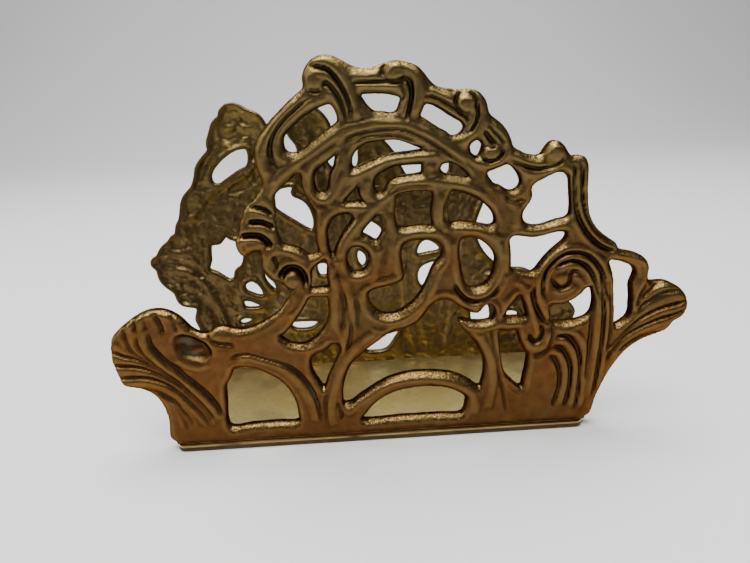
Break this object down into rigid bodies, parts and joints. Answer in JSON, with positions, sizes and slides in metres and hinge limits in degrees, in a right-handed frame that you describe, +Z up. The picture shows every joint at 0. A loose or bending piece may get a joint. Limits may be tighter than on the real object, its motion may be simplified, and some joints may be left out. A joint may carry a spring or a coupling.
{
  "type": "letter rack",
  "caption": "Openwork cast brass letter rack: pierced scroll-and-leaf front and rear panels standing on a flat base plate, open above and at the ends.",
  "frame": {"origin": "centre of the underside of the base plate", "axes": "+Z up, the decorated front panel faces -Y, +X to the right seen from the front"},
  "size_m": [0.1923, 0.063, 0.1251],
  "materials": {
    "base_plate": "smooth rolled brass, lightly tarnished, satin",
    "front_panel": "cast brass with brown patina, edges rubbed bright, satin",
    "rear_panel": "cast brass with olive-brown patina, rough cast back, satin",
    "front_screw_1": "turned brass, slotted, dull",
    "front_screw_2": "turned brass, slotted, dull",
    "front_screw_3": "turned brass, slotted, dull",
    "rear_screw_1": "turned brass, slotted, dull",
    "rear_screw_2": "turned brass, slotted, dull",
    "rear_screw_3": "turned brass, slotted, dull"
  },
  "bodies": {
    "root": {"base_plate": "base_plate", "front_panel": "front_panel", "rear_panel": "rear_panel", "front_screw_1": "front_screw_1", "front_screw_2": "front_screw_2", "front_screw_3": "front_screw_3", "rear_screw_1": "rear_screw_1", "rear_screw_2": "rear_screw_2", "rear_screw_3": "rear_screw_3"}
  },
  "joints": []
}
